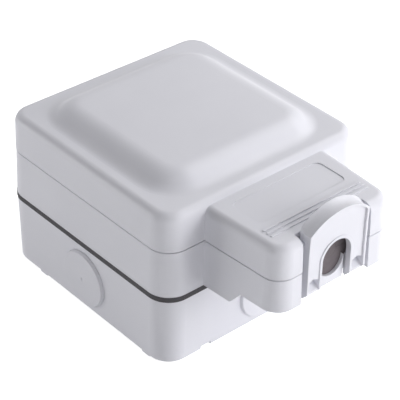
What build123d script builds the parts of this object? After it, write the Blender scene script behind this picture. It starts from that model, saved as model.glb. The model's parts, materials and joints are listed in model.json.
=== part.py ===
from build123d import *
import os
from math import cos, radians, sin, tan

os.makedirs("parts", exist_ok=True)

# Outdoor single socket with a hinged weatherproof cover, lying on its back.
# Origin: centre of the wall-fixing holes in the plane of the wall. +Z points out of the wall,
# the cable leaves towards -Y and the cover hinges at +Y. All lengths in millimetres.

# Heights of the stack, from the wall outwards
foot_height = 1.0
box_height = 35.1
gasket_height = 2.6
frame_height = 23.6
lid_gap = 0.7
lid_height = 19.6
pillow_rise = 6.2

# Outline shared by box, frame and lid
body_width = 118.0
corner_radius = 11.0
wall = 3.4
lid_draft = 1.7
frame_draft = 1.8
box_draft = 0.8
lid_overhang = 0.15
box_inset = 0.1
gasket_proud = 0.15
frame_edge = 0.4
box_edge = 0.8

# Lid shoulder and raised pillow
lid_skin = 2.8
lid_edge = 4.4
pillow_half = 47.6
pillow_corner = 18.0
pillow_slope = 40.0
pillow_crest = 14.0
pillow_foot = 9.0

# Cable projection, half in the frame and half in the lid
projection_length = 44.4
projection_root_half = 37.1
projection_front_half = 34.4
projection_corner = 9.0
projection_rise = 17.2
projection_drop = 16.4
projection_wall = 2.8
projection_edge = 4.0
root_overlap = 12.0
skirt_reach = 17.0
skirt_run = 6.0
skirt_corner = 2.0

# Panel and grip ridges on top of the projection
panel_half = 26.3
panel_length = 18.8
panel_corner = 3.2
panel_depth = 0.35
panel_setback = 4.2
ridge_half = 29.0
ridge_width = 1.3
ridge_height = 0.5
ridge_spacing = 2.5
ridge_count = 3
ridge_setback = 30.4

# Cable exit and the latch that closes round it
cable_hole_radius = 8.6
cable_radius = 4.0
mouth_radius = 10.9
mouth_drop = 2.8
mouth_slack = 0.2
slot_half = 20.4
slot_wall = 2.4
slot_depth = 6.5
tongue_clearance = 1.0
tongue_reach = 3.6
tongue_sheet = 1.6
tongue_top_drop = 4.4
notch_radius = 7.4
notch_drop = 4.8
latch_half = 17.75
latch_depth = 6.2
latch_proud = 0.8
latch_lean = 1.4
latch_lean_start = 8.0
latch_skin = 1.8
latch_flange = 2.2
latch_rim = 1.2
latch_rim_height = 1.0
latch_collar = 1.3
latch_collar_height = 0.5
exit_depth = 3.0
leg_wall = 0.8
latch_bevel = 3.5
latch_shoulder = 4.0
arch_radius = 24.4
arch_rise = 26.0
arch_back_rise = 0.9
scoop_lip = 1.0
scoop_depth = 0.65
scoop_sweep = 60.0
latch_drop = 16.6
nick_drop = 6.55
nick_height = 6.35
nick_dip = 3.35
nick_depth = 3.6
nick_gable = 1.55
keeper_width = 2.4
keeper_reach = 2.05
keeper_height = 2.0
keeper_drop = 5.2
keeper_gap = 0.15
latch_pin_radius = 1.25
latch_pin_seat = 1.8
latch_pin_setback = 2.1
latch_pin_rise = 13.1
spring_strip = 0.4
spring_width = 10.0
spring_foot = 3.2
spring_rise = 2.4

# Hinge at the back
hinge_offset = 4.1
knuckle_radius = 3.6
knuckle_length = 12.8
knuckle_gap = 0.4
knuckle_count = 5
hinge_pin_radius = 1.5
running_clearance = 0.05

# Weather seals
upstand_height = 3.0
upstand_root = 4.0
upstand_clearance = 0.4
upstand_inset = 2.2
seal_height = 3.0
seal_inset = 2.6
seal_slack = 0.05
seal_gap = 0.2
shelf_height = 1.6
ring_bite = 0.3
cable_seal_length = 7.0
cable_seal_slack = 0.1

# Back box details
box_floor = 3.0
pillar_margin = 8.6
pillar_radius = 5.5
pilot_depth = 20.0
fixing_spacing_x = 80.0
fixing_spacing_y = 60.0
fixing_radius = 2.6
pad_radius = 6.0
foot_width = 4.0
foot_length = 6.5
foot_corner = 1.2
foot_margin = 0.5
foot_setback_back = 24.5
foot_setback_front = 15.2
knockout_radius = 14.7
knockout_height = 16.8
knockout_depth = 1.0
knockout_flare = 70.0
knockout_web = 1.5
dimple_radius = 1.1
dimple_depth = 0.4
drain_width = 6.0
drain_height = 1.9
drain_offset = 35.0
earth_post_margin = 10.6
earth_post_y = 12.0
earth_post_size = 9.0
earth_post_height = 6.0

# Deck of the frame and the screws through it
deck_rise = 6.7
deck_thickness = 3.0
screw_radius = 1.75
screw_clearance = 0.25
head_radius = 4.2
head_height = 3.0
washer_height = 1.0
socket_screw_radius = 1.5
socket_head_radius = 2.8
socket_head_height = 1.8
boss_radius = 4.0
boss_height = 5.0
ear_reach = 9.0
thread_slack = 0.05

# Socket insert
module_width = 74.0
module_length = 52.0
module_x = 11.0
module_y = 4.0
module_corner = 3.0
module_clearance = 0.15
module_face_rise = 1.5
module_skin = 3.0
module_wall = 2.0
flange_margin = 2.5
flange_thickness = 2.5
rear_depth = 22.9
rear_floor = 2.0
pin_spread = 11.1
line_y = -8.0
earth_y = 14.2
line_slot = (7.2, 4.8)
earth_slot = (4.8, 8.8)

# Shutter behind the live and neutral slots
shutter_width = 34.0
shutter_length = 25.0
shutter_thickness = 2.1
shutter_y = -0.5
shutter_travel = 5.8
shutter_slack = 0.2
rail_width = 2.0
rib_offset = 15.5
rib_width = 1.6
rib_depth = 11.5
zigzag_half = 8.0
zigzag_strip = 0.5

# Contacts and terminals
contact_sheet = 0.8
contact_gap = 4.2
contact_height = 18.5
line_contact_width = 6.6
earth_contact_width = 7.8
strip_width = 4.0
terminal_size = 8.0
terminal_height = 9.0
terminal_margin = 1.6
neutral_terminal_x = -18.0
earth_terminal_x = 10.5
wire_radius = 1.9
wire_height = 5.5
wire_hole_slack = 0.6
terminal_screw_radius = 1.5
terminal_head_radius = 2.3
terminal_head_height = 1.6
terminal_screw_length = 3.2

# Rocker switch
switch_x = 38.0
rocker_width = 13.2
rocker_half = 13.2
rocker_slack = 0.8
rocker_tilt = 6.0
rocker_pivot_drop = 4.3
rocker_crown = 4.9
rocker_dip = 3.2
rocker_skirt = 1.5
rocker_keel = 5.0
rocker_keel_half = 4.0
trunnion_radius = 1.5
trunnion_length = 1.4
well_wall = 2.4
leg_size = 3.0
leg_length = 11.9
arm_tilt = 4.0
arm_pivot_rise = 10.0
arm_width = 4.4
arm_sheet = 1.2
arm_back = 7.0
arm_front = 10.0
arm_bead = 1.0
post_length = 3.0
rivet_radius = 1.6
rivet_height = 0.8
rivet_gap = 0.25

# Levels and edges that follow from the sizes above
body_half = body_width / 2
inner_half = body_half - wall
inner_radius = corner_radius - wall
box_top = foot_height + box_height
frame_z = box_top + gasket_height
parting_z = frame_z + frame_height
lid_z = parting_z + lid_gap
shoulder_z = parting_z + lid_height
crown_z = shoulder_z + pillow_rise
projection_top = parting_z + projection_rise
projection_floor = parting_z - projection_drop
front_y = -body_half - projection_length
slot_back = front_y + slot_depth
slot_wall_inner = slot_back + slot_wall
tongue_back = slot_back - tongue_reach + tongue_sheet
cable_seal_y = slot_wall_inner + cable_seal_slack
cable_seal_nose = cable_seal_y - tongue_back - cable_seal_slack
ring_end_y = cable_seal_y + cable_seal_length + cable_seal_slack
frame_flare = frame_height * tan(radians(frame_draft))
frame_top_width = body_width - 2 * lid_overhang
frame_bottom_width = frame_top_width + 2 * frame_flare
box_top_width = frame_bottom_width - 2 * box_inset
box_bottom_width = box_top_width - 2 * box_height * tan(radians(box_draft))
deck_top = frame_z + deck_rise
deck_under = deck_top - deck_thickness
flange_under = deck_under - flange_thickness
module_face = deck_top + module_face_rise
module_ceiling = module_face - module_skin
rear_z = flange_under - rear_depth
rear_top = rear_z + rear_floor
hinge_y = body_half + hinge_offset
latch_front = front_y - latch_proud
latch_back = latch_front + latch_depth
latch_panel = latch_front + latch_rim_height
latch_plate_back = latch_panel + latch_skin
exit_back = latch_panel - latch_collar_height + exit_depth
block_back = slot_back - keeper_reach - keeper_gap
block_inner = cable_hole_radius + leg_wall
block_outer = latch_half - latch_flange / 2
latch_bottom = parting_z - latch_drop
arch_top = parting_z + arch_rise
arch_center = arch_top - arch_radius
arch_back_top = arch_top + arch_back_rise
latch_pin_y = latch_back - latch_pin_setback
latch_pin_z = parting_z + latch_pin_rise
keeper_x = (cable_hole_radius + latch_half) / 2
keeper_z = parting_z - keeper_drop
nick_inner = cable_hole_radius + latch_collar
nick_outer = latch_half - latch_rim
nick_half = (nick_outer - nick_inner) / 2
nick_x = (nick_outer + nick_inner) / 2
nick_top = parting_z - nick_drop
shutter_z = module_ceiling - shutter_slack - shutter_thickness
rib_top = shutter_z - shutter_slack / 2
pocket_front_y = module_y - module_length / 2 + module_wall
pocket_back_y = module_y + module_length / 2 - module_wall
rocker_pivot_z = module_face - rocker_pivot_drop
arm_pivot_z = rear_top + arm_pivot_rise
upstand_top = parting_z + upstand_height
seal_z = upstand_top + seal_gap
shelf_z = seal_z + seal_height
terminal_y = pocket_back_y - terminal_margin - terminal_size / 2
earth_post_x = earth_post_margin - inner_half
foot_y = (body_half - foot_setback_back, foot_setback_front - body_half)
pillar_offset = inner_half - pillar_margin
corners = [(x, y) for x in (-pillar_offset, pillar_offset) for y in (-pillar_offset, pillar_offset)]
ears = [
    (module_x, module_y - module_length / 2 - ear_reach / 2 - flange_margin),
    (module_x, module_y + module_length / 2 + ear_reach / 2 + flange_margin),
]
terminals = {"live": switch_x, "neutral": neutral_terminal_x, "earth": earth_terminal_x}
along_x = Rot(Y=90)
along_y = Rot(X=90)


def plan_half(y):
    """Half width of the cable projection at a given y."""
    share = (y - front_y) / projection_length
    return projection_front_half + share * (projection_root_half - projection_front_half)


def projection_face(inset=0.0):
    """Plan of the cable projection, drawn in by inset at its sides and front."""
    root_y = -body_half + root_overlap
    nose_y = front_y + inset
    root_x = plan_half(root_y) - inset
    nose_x = plan_half(nose_y) - inset
    with BuildSketch(mode=Mode.PRIVATE) as plan:
        with BuildLine():
            Polyline((-root_x, root_y), (-nose_x, nose_y), (nose_x, nose_y), (root_x, root_y), close=True)
        make_face()
        fillet(plan.vertices().group_by(Axis.Y)[0], projection_corner - inset)
    return plan.sketch


def cavity_face(inset=0.0):
    """Plan of the hollow of box and projection together, drawn in by inset."""
    with BuildSketch(mode=Mode.PRIVATE) as plan:
        half = inner_half - inset
        RectangleRounded(2 * half, 2 * half, inner_radius - inset)
        add(projection_face(projection_wall + inset))
    return plan.sketch


def perimeter_ring(outer_inset, inner_inset):
    """Ring along the inside of the walls, open where the cable seals close the projection."""
    with BuildSketch(mode=Mode.PRIVATE) as plan:
        add(cavity_face(outer_inset))
        add(cavity_face(inner_inset), mode=Mode.SUBTRACT)
        with Locations((0, ring_end_y)):
            Rectangle(body_width, body_width, align=(Align.CENTER, Align.MAX), mode=Mode.SUBTRACT)
    return plan.sketch


def arch_face(inset=0.0, rise=0.0):
    """Front outline of the latch: upright sides under an arch with rounded shoulders."""
    half = latch_half - inset
    radius = arch_radius + rise - inset
    spring_z = arch_center + (radius**2 - half**2) ** 0.5
    with BuildSketch(mode=Mode.PRIVATE) as outline:
        with BuildLine():
            Polyline((-half, spring_z), (-half, latch_bottom), (half, latch_bottom), (half, spring_z))
            ThreePointArc((half, spring_z), (0, arch_center + radius), (-half, spring_z))
        make_face()
        fillet(outline.vertices().group_by(Axis.Y)[-1], latch_shoulder - inset)
    return outline.sketch


def front_space(setback=0.0):
    """Side view of the space before the latch's face, which is upright and then leans out at the top."""
    face_y = latch_front + setback
    beyond_y = latch_front - 2 * latch_depth
    low_z = latch_bottom - latch_bevel
    with BuildSketch(mode=Mode.PRIVATE) as profile:
        with BuildLine():
            upright = Line((face_y, low_z), (face_y, parting_z + latch_lean_start))
            lean = TangentArc(upright @ 1, (face_y - latch_lean, arch_back_top), tangent=upright % 1)
            Polyline(lean @ 1, (beyond_y, arch_back_top), (beyond_y, low_z), upright @ 0)
        make_face()
    return profile.sketch


def scoop_face():
    """Side view of the space over the arch: level at a front lip, then hollow and rising to the back."""
    lip_y = latch_front - latch_lean + scoop_lip
    start_y = lip_y - latch_depth
    clear_z = arch_back_top + latch_depth
    middle = ((lip_y + latch_back) / 2, (arch_top + arch_back_top) / 2 - scoop_depth)
    with BuildSketch(mode=Mode.PRIVATE) as profile:
        with BuildLine():
            lip = Line((start_y, arch_top), (lip_y, arch_top))
            hollow = ThreePointArc(lip @ 1, middle, (latch_back, arch_back_top))
            Polyline(hollow @ 1, (latch_back, clear_z), (start_y, clear_z), lip @ 0)
        make_face()
    return profile.sketch


def exit_face(radius):
    """Cable exit in the latch: a round top at the parting line, open down to the bottom edge."""
    with BuildSketch(mode=Mode.PRIVATE) as outline:
        with Locations((0, parting_z)):
            Circle(radius)
            Rectangle(2 * radius, latch_drop + latch_bevel, align=(Align.CENTER, Align.MAX))
    return outline.sketch


def save(builder, name):
    """Label a finished piece and write it."""
    builder.part.label = name
    export_step(builder.part, f"parts/{name}.step")


# Back box: drafted shell with screw pillars, fixing pads, feet, knockouts and drain notches
with BuildPart() as back_box:
    with BuildSketch(Plane.XY.offset(foot_height)):
        RectangleRounded(box_bottom_width, box_bottom_width, corner_radius)
    extrude(amount=box_height, taper=-box_draft)
    fillet(back_box.faces().sort_by(Axis.Z)[0].edges(), box_edge)
    with BuildSketch(Plane.XY.offset(foot_height + box_floor)):
        RectangleRounded(2 * inner_half, 2 * inner_half, inner_radius)
    extrude(amount=box_height, mode=Mode.SUBTRACT)
    with BuildSketch(Plane.XY.offset(foot_height + box_floor / 2)):
        with Locations(*corners):
            Circle(pillar_radius)
    extrude(amount=box_height - box_floor / 2)
    with Locations(*[(x, y, box_top) for x, y in corners]):
        Hole(screw_radius + thread_slack, pilot_depth)
    with BuildSketch():
        with GridLocations(fixing_spacing_x, fixing_spacing_y, 2, 2):
            Circle(pad_radius)
    extrude(amount=foot_height + box_floor / 2)
    with BuildSketch():
        for side in (-1, 1):
            with Locations(*[(side * (box_bottom_width / 2 - foot_margin - foot_width / 2), y) for y in foot_y]):
                RectangleRounded(foot_width, foot_length, foot_corner)
    extrude(amount=foot_height + box_floor / 2)
    with BuildSketch():
        with GridLocations(fixing_spacing_x, fixing_spacing_y, 2, 2):
            Circle(fixing_radius)
    extrude(amount=foot_height + box_floor, mode=Mode.SUBTRACT)
    face_half = box_bottom_width / 2 + knockout_height * tan(radians(box_draft))
    flare = knockout_depth * tan(radians(knockout_flare))
    for turn in range(4):
        out = (cos(radians(90 * turn)), sin(radians(90 * turn)))
        for start, radius, depth, taper in (
            (face_half + knockout_depth, knockout_radius + flare, 2 * knockout_depth, knockout_flare),
            (face_half, dimple_radius, knockout_depth + dimple_depth, 0),
        ):
            origin = (start * out[0], start * out[1], foot_height + knockout_height)
            side_plane = Plane(origin, x_dir=(out[1], -out[0], 0), z_dir=(-out[0], -out[1], 0))
            with BuildSketch(side_plane):
                Circle(radius)
            extrude(amount=depth, taper=taper, mode=Mode.SUBTRACT)
        origin = (inner_half * out[0], inner_half * out[1], foot_height + knockout_height)
        with BuildSketch(Plane(origin, x_dir=(-out[1], out[0], 0), z_dir=(out[0], out[1], 0))):
            Circle(knockout_radius - flare)
        extrude(amount=face_half - inner_half - knockout_depth - knockout_web, mode=Mode.SUBTRACT)
    with Locations(*[(x, y, foot_height) for x in (-drain_offset, drain_offset) for y in (-body_half, body_half)]):
        Box(drain_width, 2 * wall, 2 * drain_height, mode=Mode.SUBTRACT)
    with Locations((earth_post_x, earth_post_y, foot_height + box_floor / 2)):
        Box(
            earth_post_size,
            earth_post_size,
            earth_post_height + box_floor / 2,
            align=(Align.CENTER, Align.CENTER, Align.MIN),
        )
    with Locations((earth_post_x, earth_post_y, foot_height + box_floor + earth_post_height)):
        Hole(terminal_screw_radius + thread_slack, earth_post_height)
save(back_box, "back_box")

# Gasket between box and frame, a little proud of both
with BuildPart() as box_gasket:
    gasket_width = frame_bottom_width + 2 * gasket_proud
    with BuildSketch(Plane.XY.offset(box_top)):
        RectangleRounded(gasket_width, gasket_width, corner_radius + frame_flare)
        RectangleRounded(2 * inner_half, 2 * inner_half, inner_radius, mode=Mode.SUBTRACT)
    extrude(amount=gasket_height)
save(box_gasket, "box_gasket")

# Spare earth terminal on its post in the box, and its screw
earth_block_z = foot_height + box_floor + earth_post_height
with BuildPart() as box_earth_terminal:
    with Locations((earth_post_x, earth_post_y, earth_block_z)):
        Box(terminal_size, terminal_size, terminal_height, align=(Align.CENTER, Align.CENTER, Align.MIN))
    fillet(box_earth_terminal.edges().filter_by(Axis.Z), contact_sheet)
    with Locations(Pos(earth_post_x, earth_post_y, earth_block_z + wire_height) * along_y):
        Cylinder(wire_radius, terminal_size, mode=Mode.SUBTRACT)
    with Locations((earth_post_x, earth_post_y, earth_block_z + terminal_height)):
        Hole(terminal_screw_radius + thread_slack, terminal_height)
save(box_earth_terminal, "box_earth_terminal")

with BuildPart() as box_earth_screw:
    screw_foot = earth_block_z - earth_post_height / 2
    with Locations((earth_post_x, earth_post_y, screw_foot)):
        Cylinder(
            terminal_screw_radius,
            earth_block_z + terminal_height - screw_foot,
            align=(Align.CENTER, Align.CENTER, Align.MIN),
        )
    with Locations((earth_post_x, earth_post_y, earth_block_z + terminal_height)):
        Cylinder(
            terminal_head_radius,
            terminal_head_height,
            align=(Align.CENTER, Align.CENTER, Align.MIN),
        )
    fillet(box_earth_screw.faces().sort_by(Axis.Z)[-1].edges(), spring_strip)
save(box_earth_screw, "box_earth_screw")

# Front frame: walls, deck, lower half of the projection, tongue, upstand and hinge knuckles
with BuildPart() as front_frame:
    with BuildSketch(Plane.XY.offset(frame_z)):
        RectangleRounded(frame_bottom_width, frame_bottom_width, corner_radius + frame_flare)
    extrude(amount=frame_height, taper=frame_draft)
    with BuildSketch(Plane.XY.offset(frame_z)):
        add(projection_face(lid_overhang - frame_flare))
    extrude(amount=frame_height, taper=frame_draft)
    fillet(front_frame.faces().sort_by(Axis.Z)[-1].edges(), frame_edge)
    # The underside of the projection steps up in front of a short skirt
    skirt_y = -body_half - skirt_reach
    below = frame_z - gasket_height
    beyond = front_y - projection_length
    with BuildSketch(Plane.YZ) as skirt_cut:
        with BuildLine():
            Polyline(
                (-body_half, below),
                (-body_half, frame_z),
                (skirt_y, frame_z),
                (skirt_y - skirt_run, projection_floor),
                (beyond, projection_floor),
                (beyond, below),
                close=True,
            )
        make_face()
        fillet(skirt_cut.vertices().group_by(Axis.Y)[1].sort_by(Axis.X)[0], skirt_corner)
    extrude(amount=body_width, both=True, mode=Mode.SUBTRACT)
    # Hollows above and below the deck
    with BuildSketch(Plane.XY.offset(deck_top)):
        RectangleRounded(2 * inner_half, 2 * inner_half, inner_radius)
    extrude(amount=frame_height, mode=Mode.SUBTRACT)
    with BuildSketch(Plane.XY.offset(frame_z)):
        RectangleRounded(2 * inner_half, 2 * inner_half, inner_radius)
    extrude(amount=deck_under - frame_z, mode=Mode.SUBTRACT)
    with BuildSketch(Plane.XY.offset(projection_floor + projection_wall)):
        add(projection_face(projection_wall))
        with Locations((0, slot_wall_inner)):
            Rectangle(
                2 * (slot_half + slot_wall),
                projection_length,
                align=(Align.CENTER, Align.MAX),
                mode=Mode.SUBTRACT,
            )
    extrude(amount=frame_height, mode=Mode.SUBTRACT)
    # Slot for the latch, with the tongue standing between its legs
    with BuildSketch(Plane.XY.offset(projection_floor)):
        with Locations((0, slot_back)):
            Rectangle(2 * slot_half, projection_length, align=(Align.CENTER, Align.MAX))
    extrude(amount=frame_height, mode=Mode.SUBTRACT)
    with Locations((0, slot_back + slot_wall / 2, projection_floor)):
        Box(
            2 * (cable_hole_radius - tongue_clearance),
            tongue_reach + slot_wall / 2,
            projection_drop - tongue_top_drop,
            align=(Align.CENTER, Align.MAX, Align.MIN),
        )
    with Locations(*[(side * keeper_x, slot_back + slot_wall / 2, keeper_z) for side in (-1, 1)]):
        Box(
            keeper_width,
            keeper_reach + slot_wall / 2,
            keeper_height,
            align=(Align.CENTER, Align.MAX, Align.MIN),
        )
    # Mouth for the rubber behind the tongue, and the cable's notch through the tongue
    for radius, drop, depth in (
        (mouth_radius, mouth_drop, slot_wall_inner - tongue_back),
        (notch_radius, notch_drop, projection_length),
    ):
        with BuildSketch(Plane.XZ.offset(-slot_wall_inner)):
            with Locations((0, parting_z - drop)):
                Circle(radius)
                Rectangle(2 * radius, frame_height, align=(Align.CENTER, Align.MIN))
        extrude(amount=depth, mode=Mode.SUBTRACT)
    # Upstand that the lid seal closes on
    with BuildSketch(Plane.XY.offset(parting_z - upstand_root)):
        add(perimeter_ring(-ring_bite, upstand_inset))
    extrude(amount=upstand_root - frame_edge)
    with BuildSketch(Plane.XY.offset(parting_z - upstand_root)):
        add(perimeter_ring(upstand_clearance, upstand_inset))
    extrude(amount=upstand_root + upstand_height)
    # Deck opening for the socket insert, bosses and screw holes
    with BuildSketch(Plane.XY.offset(box_top)):
        with Locations(*corners):
            Circle(pillar_radius)
    extrude(amount=deck_top - box_top)
    with BuildSketch(Plane.XY.offset(deck_under)):
        with Locations(*ears):
            Circle(boss_radius)
    extrude(amount=deck_thickness + boss_height)
    with BuildSketch(Plane.XY.offset(box_top)):
        with Locations((module_x, module_y)):
            RectangleRounded(
                module_width + 2 * module_clearance,
                module_length + 2 * module_clearance,
                module_corner + module_clearance,
            )
        with Locations(*corners):
            Circle(screw_radius + screw_clearance)
    extrude(amount=deck_top - box_top, mode=Mode.SUBTRACT)
    with BuildSketch(Plane.XY.offset(deck_under)):
        with Locations(*ears):
            Circle(socket_screw_radius + thread_slack)
    extrude(amount=deck_thickness + boss_height - spring_strip, mode=Mode.SUBTRACT)
    # Hinge knuckles: first, third and fifth on the frame
    for index in range(0, knuckle_count, 2):
        knuckle_x = (index - (knuckle_count - 1) / 2) * (knuckle_length + knuckle_gap)
        with BuildSketch(Plane.YZ.offset(knuckle_x - knuckle_length / 2)):
            with Locations((hinge_y, parting_z)):
                Circle(knuckle_radius)
                Rectangle(hinge_offset + wall / 2, knuckle_radius, align=(Align.MAX, Align.MAX))
        extrude(amount=knuckle_length)
    with Locations(Pos(0, hinge_y, parting_z) * along_x):
        Cylinder(hinge_pin_radius, body_width, mode=Mode.SUBTRACT)
save(front_frame, "front_frame")

# Screws and sealing washers that hold the frame to the box
with BuildPart() as screw_seals:
    with BuildSketch(Plane.XY.offset(deck_top)):
        with Locations(*corners):
            Circle(head_radius)
            Circle(screw_radius + thread_slack, mode=Mode.SUBTRACT)
    extrude(amount=washer_height)
save(screw_seals, "screw_seals")

with BuildPart() as frame_screws:
    head_z = deck_top + washer_height
    with BuildSketch(Plane.XY.offset(head_z)):
        with Locations(*corners):
            Circle(head_radius)
    extrude(amount=head_height)
    fillet(frame_screws.faces().group_by(Axis.Z)[-1].edges(), head_height / 3)
    with BuildSketch(Plane.XY.offset(head_z)):
        with Locations(*corners):
            Circle(screw_radius)
    extrude(amount=box_top - pilot_depth * 0.9 - head_z)
    slots = [(x, y, head_z + head_height) for x, y in corners]
    for turn in (0, 90):
        with Locations(*[Pos(*place) * Rot(Z=turn) for place in slots]):
            Box(head_radius * 1.2, head_height / 3, head_height, mode=Mode.SUBTRACT)
save(frame_screws, "frame_screws")

# Upper half of the projection, before it joins the lid
with BuildPart() as lid_nose:
    with BuildSketch(Plane.XY.offset(lid_z)):
        add(projection_face())
    extrude(amount=projection_top - lid_z, taper=lid_draft)
    fillet(lid_nose.faces().sort_by(Axis.Z)[-1].edges(), projection_edge)

# Lid: drafted shell with a rounded shoulder, a soft pillow and the upper half of the projection
with BuildPart() as lid:
    with BuildSketch(Plane.XY.offset(lid_z)):
        RectangleRounded(body_width, body_width, corner_radius)
    extrude(amount=shoulder_z - lid_z, taper=lid_draft)
    fillet(lid.faces().sort_by(Axis.Z)[-1].edges(), lid_edge)
    with BuildSketch(Plane.XY.offset(shoulder_z)):
        RectangleRounded(2 * pillow_half, 2 * pillow_half, pillow_corner)
    extrude(amount=pillow_rise, taper=90 - pillow_slope)
    fillet(lid.faces().sort_by(Axis.Z)[-1].edges(), pillow_crest)
    at_shoulder = lid.edges().filter_by_position(Axis.Z, shoulder_z - 0.01, shoulder_z + 0.01)
    fillet(at_shoulder.sort_by(lambda edge: edge.center().length)[:8], pillow_foot)
    add(lid_nose.part)
    # Hollows under the shoulder, the pillow and the projection
    with BuildSketch(Plane.XY.offset(lid_z)):
        RectangleRounded(2 * inner_half, 2 * inner_half, inner_radius)
    extrude(amount=shoulder_z - lid_skin - lid_z, mode=Mode.SUBTRACT)
    with BuildSketch(Plane.XY.offset(shoulder_z - lid_skin)):
        RectangleRounded(2 * pillow_half, 2 * pillow_half, pillow_corner)
    extrude(amount=pillow_rise, taper=90 - pillow_slope, mode=Mode.SUBTRACT)
    with BuildSketch(Plane.XY.offset(lid_z)):
        add(projection_face(projection_wall))
        with Locations((0, slot_wall_inner)):
            Rectangle(
                2 * (slot_half + slot_wall),
                projection_length,
                align=(Align.CENTER, Align.MAX),
                mode=Mode.SUBTRACT,
            )
    extrude(amount=projection_top - projection_wall - lid_z, mode=Mode.SUBTRACT)
    # Slot for the latch, pin holes and the mouth for the rubber
    with BuildSketch(Plane.XY.offset(lid_z)):
        with Locations((0, slot_back)):
            Rectangle(2 * slot_half, projection_length, align=(Align.CENTER, Align.MAX))
    extrude(amount=lid_height, mode=Mode.SUBTRACT)
    with Locations(Pos(0, latch_pin_y, latch_pin_z) * along_x):
        Cylinder(latch_pin_radius, 2 * (slot_half + latch_pin_seat), mode=Mode.SUBTRACT)
    with Locations(Pos(0, front_y, parting_z) * along_y):
        Cylinder(mouth_radius, projection_length, mode=Mode.SUBTRACT)
    # Shelf that backs the lid seal
    with BuildSketch(Plane.XY.offset(shelf_z)):
        add(perimeter_ring(-ring_bite, seal_inset))
    extrude(amount=shelf_height)
    # Sunk panel and grip ridges
    with BuildSketch(Plane.XY.offset(projection_top)):
        with Locations((0, -body_half - panel_setback - panel_length / 2)):
            RectangleRounded(2 * panel_half, panel_length, panel_corner)
    extrude(amount=-panel_depth, mode=Mode.SUBTRACT)
    with BuildSketch(Plane.XY.offset(projection_top)):
        with Locations((0, -body_half - ridge_setback)):
            with GridLocations(0, ridge_spacing, 1, ridge_count):
                SlotOverall(2 * ridge_half, ridge_width)
    extrude(amount=ridge_height)
    # Hinge knuckles: second and fourth on the lid
    for index in range(1, knuckle_count, 2):
        knuckle_x = (index - (knuckle_count - 1) / 2) * (knuckle_length + knuckle_gap)
        with BuildSketch(Plane.YZ.offset(knuckle_x - knuckle_length / 2)):
            with Locations((hinge_y, parting_z)):
                Circle(knuckle_radius)
            with Locations((hinge_y, lid_z)):
                Rectangle(hinge_offset + wall / 2, knuckle_radius - lid_gap, align=(Align.MAX, Align.MIN))
        extrude(amount=knuckle_length)
    with Locations(Pos(0, hinge_y, parting_z) * along_x):
        Cylinder(hinge_pin_radius + running_clearance, body_width, mode=Mode.SUBTRACT)
save(lid, "lid")

# Hinge pin through all knuckles
with BuildPart() as hinge_pin:
    hinge_span = knuckle_count * knuckle_length + (knuckle_count - 1) * knuckle_gap
    with Locations(Pos(0, hinge_y, parting_z) * along_x):
        Cylinder(hinge_pin_radius, hinge_span)
    chamfer(hinge_pin.faces().filter_by(GeomType.PLANE).edges(), hinge_pin_radius / 5)
save(hinge_pin, "hinge_pin")

# Seal under the lid
with BuildPart() as lid_seal:
    with BuildSketch(Plane.XY.offset(seal_z)):
        add(perimeter_ring(seal_slack, seal_inset))
    extrude(amount=seal_height)
save(lid_seal, "lid_seal")

# Cable seals: two rubber pads that meet at the parting line round the cable, each with a nose in the mouth
seal_half = plan_half(cable_seal_y) - projection_wall - lid_overhang - cable_seal_slack
seal_spans = {
    "upper_cable_seal": (parting_z + cable_seal_slack, projection_top - projection_wall),
    "lower_cable_seal": (projection_floor + projection_wall, parting_z - cable_seal_slack),
}
for name, (low, high) in seal_spans.items():
    with BuildPart() as cable_seal:
        with Locations((0, cable_seal_y, low)):
            Box(2 * seal_half, cable_seal_length, high - low, align=(Align.CENTER, Align.MIN, Align.MIN))
        nose_radius = mouth_radius - mouth_slack
        with BuildSketch(Plane.XZ.offset(-cable_seal_y)):
            with Locations((0, parting_z), (0, parting_z - mouth_drop)):
                Circle(nose_radius)
            with Locations((0, parting_z)):
                Rectangle(2 * nose_radius, mouth_drop, align=(Align.CENTER, Align.MAX))
            with Locations((0, low)):
                Rectangle(body_width, high - low, align=(Align.CENTER, Align.MIN), mode=Mode.INTERSECT)
        extrude(amount=cable_seal_nose)
        with Locations(Pos(0, cable_seal_y, parting_z) * along_y):
            Cylinder(cable_radius, 3 * cable_seal_length, mode=Mode.SUBTRACT)
    save(cable_seal, name)

# Space before the latch's sunk panel, inside its rim
with BuildPart() as panel_space:
    with BuildSketch(Plane.YZ):
        add(front_space(latch_rim_height))
    extrude(amount=body_width, both=True)
    with BuildSketch(Plane.XZ.offset(-latch_back)):
        add(arch_face(latch_rim))
        with Locations((0, latch_bottom)):
            Rectangle(2 * nick_outer, 2 * latch_rim)
    extrude(amount=projection_length, mode=Mode.INTERSECT)

# Wedge with a gabled top, taken out of each leg of the latch
with BuildPart() as nick_space:
    with BuildSketch(Plane.YZ):
        with BuildLine():
            Polyline(
                (latch_front, nick_top),
                (latch_panel, nick_top),
                (latch_panel + nick_depth, nick_top - nick_dip),
                (latch_panel, nick_top - nick_height),
                (latch_front, nick_top - nick_height),
                close=True,
            )
        make_face()
    extrude(amount=nick_half, both=True)
    with BuildSketch(Plane.XZ.offset(-latch_back)):
        with BuildLine():
            Polyline(
                (-nick_half, latch_bottom),
                (nick_half, latch_bottom),
                (nick_half, nick_top - nick_gable),
                (0, nick_top),
                (-nick_half, nick_top - nick_gable),
                close=True,
            )
        make_face()
    extrude(amount=2 * latch_depth, mode=Mode.INTERSECT)

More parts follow.
